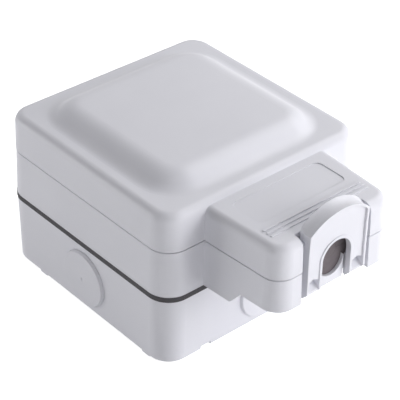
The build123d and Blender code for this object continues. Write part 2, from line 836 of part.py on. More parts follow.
# Latch: hollow arch plate with a rim, a finger scoop on top, a collar round the cable exit and a bevelled foot
with BuildPart() as latch:
    with BuildSketch(Plane.XZ.offset(-latch_back)):
        add(arch_face(rise=arch_back_rise))
    extrude(amount=latch_depth + latch_lean)
    with BuildSketch(Plane.YZ):
        add(front_space())
    extrude(amount=body_width, both=True, mode=Mode.SUBTRACT)
    add(panel_space.part, mode=Mode.SUBTRACT)
    for way in (-1, 1):
        with BuildSketch(Plane.YZ):
            add(scoop_face())
        revolve(axis=Axis((0, 0, arch_center), (0, way, 0)), revolution_arc=scoop_sweep, mode=Mode.SUBTRACT)
    with BuildSketch(Plane.XZ.offset(-latch_panel)):
        add(exit_face(nick_inner))
    extrude(amount=latch_collar_height)
    with BuildSketch(Plane.XZ.offset(-latch_back)):
        add(arch_face(latch_flange))
        add(exit_face(cable_hole_radius + latch_flange), mode=Mode.SUBTRACT)
    extrude(amount=latch_back - latch_plate_back, mode=Mode.SUBTRACT)
    with BuildSketch(Plane.XZ.offset(-latch_back)):
        add(exit_face(cable_hole_radius + latch_flange))
    extrude(amount=latch_back - exit_back, mode=Mode.SUBTRACT)
    # The lower end of each leg is solid, and its top catches under the keeper
    block_x = (block_inner + block_outer) / 2
    with Locations(*[(side * block_x, latch_plate_back, latch_bottom) for side in (-1, 1)]):
        Box(
            block_outer - block_inner,
            block_back - latch_plate_back,
            keeper_z - keeper_gap - latch_bottom,
            align=(Align.CENTER, Align.MIN, Align.MIN),
        )
    with BuildSketch(Plane.XZ.offset(-latch_back)):
        add(exit_face(cable_hole_radius))
    extrude(amount=2 * latch_depth, mode=Mode.SUBTRACT)
    with BuildSketch(Plane.YZ):
        with BuildLine():
            Polyline(
                (latch_front - latch_bevel, latch_bottom - latch_bevel),
                (latch_front + latch_bevel, latch_bottom - latch_bevel),
                (latch_front + latch_bevel, latch_bottom),
                (latch_front, latch_bottom + latch_bevel),
                (latch_front - latch_bevel, latch_bottom + latch_bevel),
                close=True,
            )
        make_face()
    extrude(amount=body_width, both=True, mode=Mode.SUBTRACT)
    with Locations((-nick_x, 0, 0), (nick_x, 0, 0)):
        add(nick_space.part, mode=Mode.SUBTRACT)
    with Locations(Pos(0, latch_pin_y, latch_pin_z) * along_x):
        Cylinder(latch_pin_radius + running_clearance, body_width, mode=Mode.SUBTRACT)
save(latch, "latch")

with BuildPart() as latch_pin:
    with Locations(Pos(0, latch_pin_y, latch_pin_z) * along_x):
        Cylinder(latch_pin_radius, 2 * (slot_half + latch_pin_seat))
save(latch_pin, "latch_pin")

# Leaf spring from the back wall of the lid's slot into the hollow of the latch, above its pin
with BuildPart() as latch_spring:
    leaf_y = slot_back - spring_strip / 2
    leaf_z = projection_top - spring_foot
    tip_y = latch_plate_back + spring_strip
    tip_z = projection_top + spring_rise
    with BuildSketch(Plane.YZ.offset(-spring_width / 2)):
        with BuildLine() as leaf:
            foot = Line((leaf_y, leaf_z), (leaf_y, projection_top - spring_strip))
            TangentArc(foot @ 1, (tip_y, tip_z), tangent=foot % 1)
        trace(leaf.line, line_width=spring_strip)
    extrude(amount=spring_width)
save(latch_spring, "latch_spring")

# Front of the socket insert: face, flange with ears, rocker well and shutter rails
with BuildPart() as socket_front:
    with BuildSketch(Plane.XY.offset(flange_under)):
        with Locations((module_x, module_y)):
            RectangleRounded(module_width, module_length, module_corner)
    extrude(amount=module_face - flange_under)
    fillet(socket_front.faces().sort_by(Axis.Z)[-1].edges(), module_face_rise / 2)
    with BuildSketch(Plane.XY.offset(flange_under)):
        with Locations((module_x, module_y)):
            Rectangle(module_width + 2 * flange_margin, module_length + 2 * flange_margin)
        with Locations(*ears):
            Rectangle(2 * boss_radius, ear_reach)
    extrude(amount=flange_thickness)
    with BuildSketch(Plane.XY.offset(flange_under)):
        with Locations((module_x, module_y)):
            Rectangle(module_width - 2 * module_wall, module_length - 2 * module_wall)
        with Locations(*ears):
            Circle(socket_screw_radius + screw_clearance)
    extrude(amount=module_ceiling - flange_under, mode=Mode.SUBTRACT)
    well_half = rocker_width / 2 + rocker_slack / 2
    well_length = 2 * (rocker_half + rocker_slack)
    with BuildSketch(Plane.XY.offset(flange_under)):
        with Locations((switch_x, module_y)):
            Rectangle(2 * (well_half + well_wall), well_length + 2 * well_wall)
        with GridLocations(shutter_width + 2 * shutter_slack + rail_width, 0, 2, 1):
            with Locations((0, module_y)):
                Rectangle(rail_width, module_length - module_wall)
    extrude(amount=module_face - module_skin / 2 - flange_under)
    with BuildSketch(Plane.XY.offset(flange_under)):
        with Locations((switch_x, module_y)):
            Rectangle(2 * well_half, well_length)
        with Locations((-pin_spread, line_y), (pin_spread, line_y)):
            Rectangle(*line_slot)
        with Locations((0, earth_y)):
            Rectangle(*earth_slot)
    extrude(amount=module_face - flange_under, mode=Mode.SUBTRACT)
    with Locations(Pos(switch_x, module_y, rocker_pivot_z) * along_x):
        Cylinder(
            trunnion_radius + running_clearance,
            2 * (well_half + trunnion_length + running_clearance),
            mode=Mode.SUBTRACT,
        )
save(socket_front, "socket_front")

# Rear of the socket insert: tray with shutter ribs, wire holes and screwdriver holes
with BuildPart() as socket_rear:
    with BuildSketch(Plane.XY.offset(rear_z)):
        with Locations((module_x, module_y)):
            RectangleRounded(module_width, module_length, module_corner)
    extrude(amount=rear_depth)
    with BuildSketch(Plane.XY.offset(rear_top)):
        with Locations((module_x, module_y)):
            Rectangle(module_width - 2 * module_wall, module_length - 2 * module_wall)
    extrude(amount=rear_depth, mode=Mode.SUBTRACT)
    for side in (-1, 1):
        with Locations((side * rib_offset, module_y, rib_top)):
            Box(rib_width, module_length - module_wall, rib_depth, align=(Align.CENTER, Align.CENTER, Align.MAX))
    with BuildSketch(Plane.XY.offset(flange_under)):
        with Locations((module_x, module_y)):
            Rectangle(body_width, body_width)
            inside = module_length - 2 * module_wall - 2 * shutter_slack
            Rectangle(module_width - 2 * module_wall, inside, mode=Mode.SUBTRACT)
    extrude(amount=rib_top - flange_under, mode=Mode.SUBTRACT)
    for x in terminals.values():
        with Locations(Pos(x, pocket_back_y, rear_top + wire_height) * along_y):
            Cylinder(wire_radius + wire_hole_slack, 4 * module_wall, mode=Mode.SUBTRACT)
        with Locations((x, terminal_y, rear_top)):
            Hole(terminal_head_radius + screw_clearance, rear_floor)
save(socket_rear, "socket_rear")

with BuildPart() as socket_screws:
    with BuildSketch(Plane.XY.offset(flange_under)):
        with Locations(*ears):
            Circle(socket_head_radius)
    extrude(amount=-socket_head_height)
    fillet(socket_screws.faces().group_by(Axis.Z)[0].edges(), socket_head_height / 3)
    with BuildSketch(Plane.XY.offset(flange_under)):
        with Locations(*ears):
            Circle(socket_screw_radius)
    extrude(amount=flange_thickness + deck_thickness + boss_height / 2)
save(socket_screws, "socket_screws")

# Shutter with two windows that line up with the slots when it slides, and a ramped end
with BuildPart() as shutter:
    with Locations((0, shutter_y, shutter_z)):
        Box(shutter_width, shutter_length, shutter_thickness, align=(Align.CENTER, Align.CENTER, Align.MIN))
    ramp = shutter.faces().sort_by(Axis.Z)[-1].edges().sort_by(Axis.Y)[-1]
    chamfer(ramp, shutter_thickness * 0.7)
    with BuildSketch(Plane.XY.offset(shutter_z)):
        with Locations((-pin_spread, line_y + shutter_travel), (pin_spread, line_y + shutter_travel)):
            Rectangle(*line_slot)
    extrude(amount=shutter_thickness, mode=Mode.SUBTRACT)
save(shutter, "shutter")

with BuildPart() as shutter_spring:
    spring_start = pocket_front_y + zigzag_strip
    spring_end = shutter_y - shutter_length / 2 - zigzag_strip
    steps = 4
    bends = [
        ((-1) ** step * zigzag_half, spring_start + (spring_end - spring_start) * step / (steps - 1))
        for step in range(steps)
    ]
    with BuildSketch(Plane.XY.offset(shutter_z + shutter_slack)):
        with BuildLine() as zigzag:
            FilletPolyline(*bends, radius=zigzag_strip)
        trace(zigzag.line, line_width=zigzag_strip)
    extrude(amount=shutter_thickness - shutter_slack)
save(shutter_spring, "shutter_spring")


def clip(center_y, width, height=contact_height):
    """Sprung U clip for a pin, its gap across Y, standing on the rear tray at x = 0."""
    outer = contact_gap + 2 * contact_sheet
    with Locations((0, center_y, rear_top)):
        Box(width, outer, height, align=(Align.CENTER, Align.CENTER, Align.MIN))
    with Locations((0, center_y, rear_top + contact_sheet)):
        Box(width, contact_gap, height, align=(Align.CENTER, Align.CENTER, Align.MIN), mode=Mode.SUBTRACT)


def strip(start, end):
    """Flat conductor strip on the rear tray between two points in line with X or Y."""
    size_x = abs(end[0] - start[0]) + strip_width
    size_y = abs(end[1] - start[1]) + strip_width
    with Locations(((start[0] + end[0]) / 2, (start[1] + end[1]) / 2, rear_top)):
        Box(size_x, size_y, contact_sheet, align=(Align.CENTER, Align.CENTER, Align.MIN))


terminal_edge = terminal_y - terminal_size / 2
strip_end = terminal_edge - strip_width / 2

# Live contact: clip, strip and the forked post that carries the switch arm
with BuildPart() as live_clip:
    clip(line_y, line_contact_width)
with BuildPart() as live_contact:
    with Locations((pin_spread, 0, 0)):
        add(live_clip.part)
    strip((pin_spread, line_y), (switch_x, line_y))
    strip((switch_x, line_y), (switch_x, module_y))
    with Locations((switch_x, module_y, rear_top)):
        Box(
            arm_width,
            post_length,
            arm_pivot_rise - arm_bead / 2,
            align=(Align.CENTER, Align.CENTER, Align.MIN),
        )
    with Locations(Pos(switch_x, module_y, arm_pivot_z) * along_x):
        Cylinder(arm_bead + running_clearance, 2 * arm_width, mode=Mode.SUBTRACT)
save(live_contact, "live_contact")

with BuildPart() as neutral_contact:
    with Locations((-pin_spread, 0, 0)):
        add(live_clip.part)
    strip((-pin_spread, line_y), (neutral_terminal_x, line_y))
    strip((neutral_terminal_x, line_y), (neutral_terminal_x, strip_end))
save(neutral_contact, "neutral_contact")

with BuildPart() as earth_clip:
    clip(0, earth_contact_width)
with BuildPart() as earth_contact:
    with Locations(Pos(0, earth_y, 0) * Rot(Z=90)):
        add(earth_clip.part)
    strip((0, earth_y - strip_width / 2), (earth_terminal_x, earth_y - strip_width / 2))
    strip((earth_terminal_x, earth_y - strip_width / 2), (earth_terminal_x, strip_end))
save(earth_contact, "earth_contact")

# Terminal blocks with a wire hole and a clamp screw; the live one carries the fixed switch contact
rivet_y = module_y + arm_front - rivet_radius
for name, x in terminals.items():
    with BuildPart() as terminal:
        with Locations((x, terminal_y, rear_top)):
            Box(terminal_size, terminal_size, terminal_height, align=(Align.CENTER, Align.CENTER, Align.MIN))
        fillet(terminal.edges().filter_by(Axis.Z), contact_sheet)
        with Locations(Pos(x, terminal_y, rear_top + wire_height) * along_y):
            Cylinder(wire_radius, 2 * terminal_size, mode=Mode.SUBTRACT)
        with Locations(Pos(x, terminal_y, rear_top) * Rot(X=180)):
            Hole(terminal_screw_radius + thread_slack, wire_height)
        if name == "live":
            strip((x, rivet_y), (x, strip_end + contact_sheet))
            closed_drop = (rivet_y - module_y) * tan(radians(arm_tilt))
            fixed_top = arm_pivot_z - closed_drop - rivet_height - rivet_gap
            with Locations((x, rivet_y, rear_top)):
                Cylinder(rivet_radius, fixed_top - rear_top, align=(Align.CENTER, Align.CENTER, Align.MIN))
    save(terminal, f"{name}_terminal")

with BuildPart() as terminal_screws:
    places = [(x, terminal_y) for x in terminals.values()]
    with BuildSketch(Plane.XY.offset(rear_top)):
        with Locations(*places):
            Circle(terminal_screw_radius)
    extrude(amount=terminal_screw_length)
    with BuildSketch(Plane.XY.offset(rear_top)):
        with Locations(*places):
            Circle(terminal_head_radius)
    extrude(amount=-terminal_head_height)
    with Locations(*[(px, py, rear_top - terminal_head_height) for px, py in places]):
        Box(2 * terminal_head_radius, contact_sheet, contact_sheet, mode=Mode.SUBTRACT)
save(terminal_screws, "terminal_screws")

# Rocker, at rest in its off position, with trunnions and a leg that works the arm
rocker_side = Plane(
    (switch_x - rocker_width / 2, module_y, rocker_pivot_z),
    x_dir=(0, cos(radians(rocker_tilt)), -sin(radians(rocker_tilt))),
    z_dir=(1, 0, 0),
)
with BuildPart() as rocker:
    with BuildSketch(rocker_side):
        with BuildLine():
            Polyline(
                (-rocker_half, rocker_crown),
                (-rocker_half, -rocker_skirt),
                (-rocker_keel_half, -rocker_keel),
                (rocker_keel_half, -rocker_keel),
                (rocker_half, -rocker_skirt),
                (rocker_half, rocker_crown),
            )
            ThreePointArc((rocker_half, rocker_crown), (0, rocker_dip), (-rocker_half, rocker_crown))
        make_face()
    extrude(amount=rocker_width)
    with BuildSketch(rocker_side.offset(rocker_width / 2 - leg_size / 2)):
        with Locations((0, -rocker_keel)):
            Rectangle(leg_size, 2 * (leg_length - rocker_keel) - leg_size)
        with Locations((0, leg_size / 2 - leg_length)):
            Circle(leg_size / 2)
    extrude(amount=leg_size)
    with BuildSketch(rocker_side.offset(-trunnion_length)):
        Circle(trunnion_radius)
    extrude(amount=rocker_width + 2 * trunnion_length)
save(rocker, "rocker")

# Switch arm, at rest tipped open on the post of the live contact
arm_side = Plane(
    (switch_x - arm_width / 2, module_y, arm_pivot_z),
    x_dir=(0, cos(radians(arm_tilt)), sin(radians(arm_tilt))),
    z_dir=(1, 0, 0),
)
with BuildPart() as switch_arm:
    with BuildSketch(arm_side):
        with Locations((-arm_back, 0)):
            Rectangle(arm_back + arm_front, arm_sheet, align=(Align.MIN, Align.MIN))
        Circle(arm_bead)
    extrude(amount=arm_width)
    rivet_middle = (arm_sheet / 2 - rivet_height) / 2
    tip = arm_side.location * Pos(arm_front - rivet_radius, rivet_middle, arm_width / 2) * along_y
    with Locations(tip):
        Cylinder(rivet_radius, rivet_height + arm_sheet / 2)
save(switch_arm, "switch_arm")
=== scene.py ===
import json
import math

import bmesh
import bpy
from mathutils import Matrix, Vector


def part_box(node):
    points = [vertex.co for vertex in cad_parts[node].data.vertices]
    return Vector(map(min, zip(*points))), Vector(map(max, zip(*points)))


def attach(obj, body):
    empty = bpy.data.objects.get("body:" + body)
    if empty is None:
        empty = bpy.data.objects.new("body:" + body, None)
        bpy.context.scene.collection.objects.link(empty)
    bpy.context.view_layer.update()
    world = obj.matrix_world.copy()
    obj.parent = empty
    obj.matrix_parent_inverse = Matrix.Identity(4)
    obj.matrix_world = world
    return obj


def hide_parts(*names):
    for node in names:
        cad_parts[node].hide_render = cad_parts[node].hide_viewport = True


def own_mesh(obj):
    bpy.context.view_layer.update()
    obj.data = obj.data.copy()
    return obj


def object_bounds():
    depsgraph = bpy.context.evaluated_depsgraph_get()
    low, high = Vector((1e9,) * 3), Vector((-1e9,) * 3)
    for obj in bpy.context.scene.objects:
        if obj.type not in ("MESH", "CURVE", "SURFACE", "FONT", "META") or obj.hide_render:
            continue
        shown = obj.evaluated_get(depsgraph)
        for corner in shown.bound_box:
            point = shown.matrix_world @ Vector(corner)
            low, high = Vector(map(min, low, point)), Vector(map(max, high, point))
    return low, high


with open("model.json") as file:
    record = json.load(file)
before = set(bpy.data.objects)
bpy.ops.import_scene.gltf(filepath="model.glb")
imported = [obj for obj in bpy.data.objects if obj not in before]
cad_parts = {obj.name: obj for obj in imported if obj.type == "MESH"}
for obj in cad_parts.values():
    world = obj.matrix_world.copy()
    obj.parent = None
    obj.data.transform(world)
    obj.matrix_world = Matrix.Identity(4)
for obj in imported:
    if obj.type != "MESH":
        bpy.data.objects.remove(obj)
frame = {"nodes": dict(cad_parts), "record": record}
cad_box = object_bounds()
nodes = frame["nodes"]

MM = 0.001
ORIGIN = (0.0, 0.0, 0.0)
WELD = 0.001 * MM

# Camera of the photograph: angles in degrees, places in metres, lens and sensor in millimetres
VIEW_AZIMUTH = -41.307
VIEW_ELEVATION = 35.054
VIEW_ROLL = 0.884
VIEW_PLACE = Vector((-0.406107, -0.475700, 0.474820))
VIEW_LENS = 142.817
VIEW_SENSOR = 36.0
VIEW_NEAR = 0.01
VIEW_FAR = 20.0

# Studio lamps: square softboxes that face the socket, each with its azimuth, elevation and watts.
# Azimuth 0 stands before the latch and grows towards +X.
LAMPS = {
    "right_softbox": (90.0, 45.0, 3.6),
    "back_left_low": (-135.0, 4.0, 4.0),
    "front_right_softbox": (30.0, 20.0, 5.2),
    "front_right_low": (30.0, 4.0, 1.0),
    "camera_side_low": (-45.0, 4.0, 1.45),
    "back_right_softbox": (135.0, 38.0, 1.0),
    "camera_side_high": (-45.0, 65.0, 0.75),
}
# Lamps with no mirror image in the sheen, where it would glare from behind and along the front
UNMIRRORED_LAMPS = ("front_right_softbox", "front_right_low")
LAMP_DISTANCE = 0.9
LAMP_SIDE = 0.6
LAMP_TINT = (0.985, 0.98, 1.0)
LAMP_AIM = Vector((0.0, -0.015, 0.045))
FILL_TINT = (0.97, 0.97, 1.0)
FILL_LEVEL = 0.01

# Floor, in metres: its lift towards white grows to full between the two distances of the span
FLOOR_SIDE = 6.0
FLOOR_DROP = 0.0001
FLOOR_TONE = (0.97, 0.97, 0.97)
FLOOR_LIFT = 0.80
FLOOR_LIFT_SPAN = (0.3, 0.7)

# Grain and edges of the finishes
TINT_SPAN = (0.35, 0.65)
NOISE_SPAN = (0.3, 0.7)
EDGE_SAMPLES = 6
MOULDED_EDGE = 0.35 * MM
METAL_EDGE = 0.15 * MM
SPARK_GRAIN = 0.004 * MM
SPARK_PITCH = 2600.0
FLOW_MARK = 0.01 * MM
FLOW_ALONG_Y = (1.0, 0.25, 1.0)
RUBBER_SPECK = 0.02 * MM
NYLON_RIPPLE = 0.02 * MM
NYLON_GLOW = (0.0012, 0.0011, 0.0010)
PAINT_RIPPLE = 0.01 * MM
DRAWN_LINE = 0.006 * MM
DRAWN_ALONG_X = (0.05, 1.0, 1.0)
DRAWN_ALONG_Y = (1.0, 0.05, 1.0)
DRAWN_ALONG_Z = (1.0, 1.0, 0.05)
PLASTIC_IOR = 1.5

# Slit lips across the cable passage
CABLE_RADIUS = 4.0 * MM
LIP_THICKNESS = 0.8 * MM
LIP_SETBACK = 0.05 * MM
LIP_SLIT = 0.05 * MM
LIP_BITE = 0.3 * MM
LIP_STEPS = 10
LIPS_PER_HALF = 3

# Raised discs of the conduit knockouts, by the way that each one faces
KNOCKOUT_SIDES = {
    "left": (-1.0, 0.0, 0.0),
    "right": (1.0, 0.0, 0.0),
    "front": (0.0, -1.0, 0.0),
    "back": (0.0, 1.0, 0.0),
}
KNOCKOUT_FOOT = 14.75 * MM
KNOCKOUT_RIM = 14.3 * MM
KNOCKOUT_RISE = 1.5 * MM
KNOCKOUT_EDGE = 0.4 * MM
KNOCKOUT_EDGE_MIDDLE = 0.12 * MM
KNOCKOUT_CENTRE = 17.8 * MM
KNOCKOUT_SEAT = 0.05 * MM
KNOCKOUT_MARGIN = 2.0 * MM
KNOCKOUT_STEPS = 96
DIMPLE_RADIUS = 1.1 * MM
DIMPLE_FLOOR = 0.55 * MM
DIMPLE_DEPTH = 0.4 * MM

# Springs, each drawn as a strip of its solid: carrying body, joint, end in Y that stays seated, share of
# length left at the limit
SPRINGS = {
    "latch_spring": ("lid", "latch_pivot", "hinge_end", 0.65),
    "shutter_spring": ("base", "shutter_slide", "latch_end", 0.12),
}

# Inlay on the rocker: its size along X, Y and Z, and how it is set in
MARKER_SIZE = (7.0 * MM, 2.0 * MM, 0.5 * MM)
MARKER_SETBACK = 3.4 * MM
MARKER_PROUD = 0.12 * MM
MARKER_EDGE = 0.15 * MM


def start_material(name):
    """New material, its node tree, its shader and the Object coordinates that its patterns follow."""
    material = bpy.data.materials.new(name)
    material.use_nodes = True
    tree = material.node_tree
    place = tree.nodes.new("ShaderNodeTexCoord").outputs["Object"]
    return material, tree, tree.nodes["Principled BSDF"], place


def grain(tree, place, pitch, detail=3.0, stretch=None):
    """Noise with so many bumps to the metre, drawn out along an axis where a stretch is given."""
    noise = tree.nodes.new("ShaderNodeTexNoise")
    noise.inputs["Scale"].default_value = pitch
    noise.inputs["Detail"].default_value = detail
    if stretch is not None:
        mapping = tree.nodes.new("ShaderNodeMapping")
        mapping.inputs["Scale"].default_value = stretch
        tree.links.new(place, mapping.inputs["Vector"])
        place = mapping.outputs["Vector"]
    tree.links.new(place, noise.inputs["Vector"])
    return noise.outputs["Fac"]


def tint(tree, pattern, socket, dark, light):
    """Colour that wanders between two tones with a pattern."""
    ramp = tree.nodes.new("ShaderNodeValToRGB")
    for stop, position, tone in zip(ramp.color_ramp.elements, TINT_SPAN, (dark, light)):
        stop.position = position
        stop.color = (*tone, 1.0)
    tree.links.new(pattern, ramp.inputs["Fac"])
    tree.links.new(ramp.outputs["Color"], socket)


def vary(tree, pattern, socket, low, high, span=NOISE_SPAN):
    """Number that goes from one value to another as a pattern crosses a span."""
    spread = tree.nodes.new("ShaderNodeMapRange")
    spread.inputs["From Min"].default_value = span[0]
    spread.inputs["From Max"].default_value = span[1]
    spread.inputs["To Min"].default_value = low
    spread.inputs["To Max"].default_value = high
    tree.links.new(pattern, spread.inputs["Value"])
    tree.links.new(spread.outputs["Result"], socket)


def relief(tree, pattern, shader, height, edge=None):
    """Raised grain of a given height, over edges that are softened by a small radius where one is given."""
    bump = tree.nodes.new("ShaderNodeBump")
    bump.inputs["Strength"].default_value = 1.0
    bump.inputs["Distance"].default_value = height
    tree.links.new(pattern, bump.inputs["Height"])
    if edge is not None:
        bevel = tree.nodes.new("ShaderNodeBevel")
        bevel.samples = EDGE_SAMPLES
        bevel.inputs["Radius"].default_value = edge
        tree.links.new(bevel.outputs["Normal"], bump.inputs["Normal"])
    tree.links.new(bump.outputs["Normal"], shader.inputs["Normal"])


def satin_white_plastic():
    """Housing: cool white moulding with a fine spark-eroded grain and a soft sheen."""
    material, tree, shader, place = start_material("satin_white_plastic")
    flow = grain(tree, place, pitch=28.0)
    spark = grain(tree, place, pitch=SPARK_PITCH, detail=2.0)
    tint(tree, flow, shader.inputs["Base Color"], dark=(0.757, 0.760, 0.806), light=(0.777, 0.780, 0.824))
    vary(tree, spark, shader.inputs["Roughness"], low=0.36, high=0.46)
    relief(tree, spark, shader, height=SPARK_GRAIN, edge=MOULDED_EDGE)
    shader.inputs["IOR"].default_value = PLASTIC_IOR
    return material


def gloss_white_plastic():
    """Socket insert: harder white moulding, polished, with faint flow marks."""
    material, tree, shader, place = start_material("gloss_white_plastic")
    flow = grain(tree, place, pitch=60.0, detail=2.0, stretch=FLOW_ALONG_Y)
    tint(tree, flow, shader.inputs["Base Color"], dark=(0.79, 0.785, 0.77), light=(0.815, 0.81, 0.795))
    vary(tree, flow, shader.inputs["Roughness"], low=0.14, high=0.20)
    relief(tree, flow, shader, height=FLOW_MARK, edge=MOULDED_EDGE)
    shader.inputs["IOR"].default_value = PLASTIC_IOR
    return material


def rubber(name, dark, light):
    """Seal rubber: matt, with a fine talc-dusted grain."""
    material, tree, shader, place = start_material(name)
    bloom = grain(tree, place, pitch=160.0)
    speck = grain(tree, place, pitch=3200.0, detail=2.0)
    tint(tree, bloom, shader.inputs["Base Color"], dark, light)
    vary(tree, bloom, shader.inputs["Roughness"], low=0.68, high=0.82)
    relief(tree, speck, shader, height=RUBBER_SPECK, edge=MOULDED_EDGE)
    shader.inputs["Specular IOR Level"].default_value = 0.3
    return material


def metal(name, dark, light, smooth, rough, lines):
    """Bare or plated metal: tone wanders a little, and drawn lines run along one axis."""
    material, tree, shader, place = start_material(name)
    cloud = grain(tree, place, pitch=220.0)
    drawn = grain(tree, place, pitch=1800.0, detail=2.0, stretch=lines)
    tint(tree, cloud, shader.inputs["Base Color"], dark, light)
    vary(tree, drawn, shader.inputs["Roughness"], low=smooth, high=rough)
    relief(tree, drawn, shader, height=DRAWN_LINE, edge=METAL_EDGE)
    shader.inputs["Metallic"].default_value = 1.0
    return material


def contact_brass():
    """Contacts and terminals: bright rolled brass."""
    dark, light = (0.70, 0.47, 0.18), (0.82, 0.60, 0.27)
    return metal("contact_brass", dark, light, smooth=0.22, rough=0.34, lines=DRAWN_ALONG_Y)


def zinc_plated_steel():
    """Screws and pins: pale plated steel with lines along their length."""
    dark, light = (0.55, 0.56, 0.60), (0.68, 0.69, 0.72)
    return metal("zinc_plated_steel", dark, light, smooth=0.25, rough=0.40, lines=DRAWN_ALONG_Z)


def spring_steel():
    """Springs: darker cold-rolled strip."""
    dark, light = (0.36, 0.36, 0.37), (0.50, 0.50, 0.50)
    return metal("spring_steel", dark, light, smooth=0.20, rough=0.32, lines=DRAWN_ALONG_X)


def milky_nylon():
    """Shutter: natural nylon, a little see-through at its edges."""
    material, tree, shader, place = start_material("milky_nylon")
    cloud = grain(tree, place, pitch=120.0)
    tint(tree, cloud, shader.inputs["Base Color"], dark=(0.60, 0.61, 0.59), light=(0.66, 0.67, 0.65))
    vary(tree, cloud, shader.inputs["Roughness"], low=0.40, high=0.52)
    relief(tree, cloud, shader, height=NYLON_RIPPLE, edge=MOULDED_EDGE)
    shader.inputs["Subsurface Weight"].default_value = 0.15
    shader.inputs["Subsurface Radius"].default_value = NYLON_GLOW
    shader.inputs["Subsurface Scale"].default_value = 1.0
    return material


def red_marker_paint():
    """Red inlay that shows when the rocker is switched on."""
    material, tree, shader, place = start_material("red_marker_paint")
    cloud = grain(tree, place, pitch=900.0)
    tint(tree, cloud, shader.inputs["Base Color"], dark=(0.52, 0.018, 0.018), light=(0.60, 0.026, 0.024))
    vary(tree, cloud, shader.inputs["Roughness"], low=0.24, high=0.34)
    relief(tree, cloud, shader, height=PAINT_RIPPLE)
    return material


def finish_nodes():
    """Give every solid the finish of its slot, with the cable seals in a paler rubber than the gaskets."""
    seal_grey = rubber("cable_seal_rubber", dark=(0.140, 0.122, 0.130), light=(0.165, 0.145, 0.152))
    finishes = {
        "housing_plastic": satin_white_plastic(),
        "insert_plastic": gloss_white_plastic(),
        "seal_rubber": rubber("gasket_rubber", dark=(0.070, 0.068, 0.073), light=(0.086, 0.083, 0.088)),
        "contact_brass": contact_brass(),
        "screw_steel": zinc_plated_steel(),
        "spring_steel": spring_steel(),
        "shutter_nylon": milky_nylon(),
    }
    for part in frame["record"]["subparts"]:
        finish = finishes[part["material_slot"]]
        if part["node"].endswith("cable_seal"):
            finish = seal_grey
        for slot in nodes[part["node"]].material_slots:
            slot.material = finish
    return finishes, seal_grey


def add_piece(name, mesh_maker, material, body):
    """Object at the origin whose mesh is filled by a maker, riding on a body."""
    mesh = bpy.data.meshes.new(name)
    shape = bmesh.new()
    mesh_maker(shape)
    bmesh.ops.remove_doubles(shape, verts=shape.verts, dist=WELD)
    bmesh.ops.recalc_face_normals(shape, faces=shape.faces)
    shape.to_mesh(mesh)
    shape.free()
    mesh.materials.append(material)
    piece = bpy.data.objects.new(name, mesh)
    bpy.context.scene.collection.objects.link(piece)
    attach(piece, body)
    return piece


def seal_lips(upward):
    """Maker for the slit lips in one half of the cable passage: sectors of a thin disc, a slit apart."""
    upper_low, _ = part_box("upper_cable_seal")
    _, lower_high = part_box("lower_cable_seal")
    middle = Vector((0.0, upper_low.y + LIP_SETBACK, (upper_low.z + lower_high.z) / 2))
    sweep = math.pi / LIPS_PER_HALF
    inner = LIP_SLIT / 2 / math.sin(sweep / 2)
    run = CABLE_RADIUS + LIP_BITE - inner

    def make(shape):
        for index in range(LIPS_PER_HALF):
            start = index * sweep + (0.0 if upward else math.pi)
            heart = start + sweep / 2
            tip = middle + Vector((math.cos(heart) * inner, 0.0, math.sin(heart) * inner))
            rim = tip + Vector((math.cos(start) * run, 0.0, math.sin(start) * run))
            ends = [shape.verts.new(tip), shape.verts.new(rim)]
            edge = shape.edges.new(ends)
            bmesh.ops.spin(
                shape, geom=[*ends, edge], cent=tip, axis=(0.0, -1.0, 0.0), angle=sweep,
                steps=LIP_STEPS, use_merge=False,
            )
            fresh = {v for f in shape.faces if not f.tag for v in f.verts}
            bmesh.ops.remove_doubles(shape, verts=list(fresh), dist=WELD)
            sector = [f for f in shape.faces if not f.tag]
            grown = bmesh.ops.extrude_face_region(shape, geom=sector)
            moved = [v for v in grown["geom"] if isinstance(v, bmesh.types.BMVert)]
            bmesh.ops.translate(shape, verts=moved, vec=(0.0, LIP_THICKNESS, 0.0))
            for face in shape.faces:
                face.tag = True

    return make


def box_wall(outward, height):
    """Point on the back box's outer wall beside a knockout, at a height, on the side that faces outward."""
    _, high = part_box("back_box")
    aside = Vector((-outward.y, outward.x, 0.0)) * (KNOCKOUT_FOOT + KNOCKOUT_MARGIN)
    start = outward * (high.x + high.y) + aside + Vector((0.0, 0.0, height))
    _, point, _, _ = nodes["back_box"].ray_cast(start, -outward)
    return point - aside


